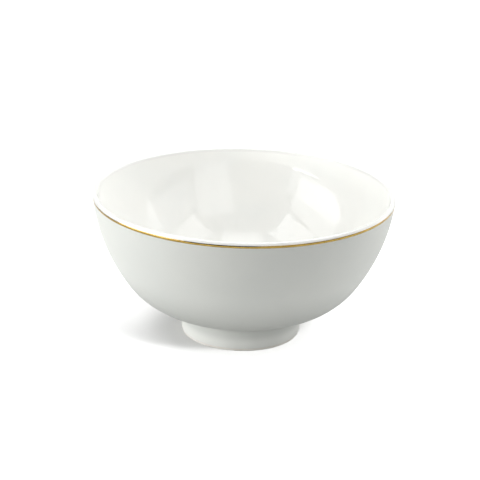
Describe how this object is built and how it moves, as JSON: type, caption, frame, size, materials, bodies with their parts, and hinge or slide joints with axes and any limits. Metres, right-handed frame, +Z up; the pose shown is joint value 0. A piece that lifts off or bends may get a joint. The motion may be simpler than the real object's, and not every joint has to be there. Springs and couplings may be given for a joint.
{
  "type": "footed porcelain bowl",
  "caption": "Round deep bowl on a ring foot, white glazed porcelain, satin outside and glossy inside, with a thin gold line under the lip. Holds a serving of food.",
  "frame": {"origin": "centre of the plane that the foot stands on, on the bowl's axis", "axes": "+Z up along the bowl's axis of revolution; X and Y level, and the bowl is the same all round"},
  "size_m": [0.1602, 0.1602, 0.0784],
  "materials": {
    "porcelain": "unglazed fired porcelain, sanded smooth",
    "slip": "fired porcelain slip",
    "gloss_glaze": "clear gloss glaze over white porcelain",
    "satin_glaze": "satin glaze, faintly cool white",
    "gold": "burnished gold line, softly polished"
  },
  "bodies": {
    "root": {"bowl_body": "porcelain", "foot_ring": "porcelain", "foot_joint_slip": "slip", "liner_glaze": "gloss_glaze", "outer_glaze": "satin_glaze", "foot_well_glaze": "gloss_glaze", "gold_band": "gold"}
  },
  "joints": []
}
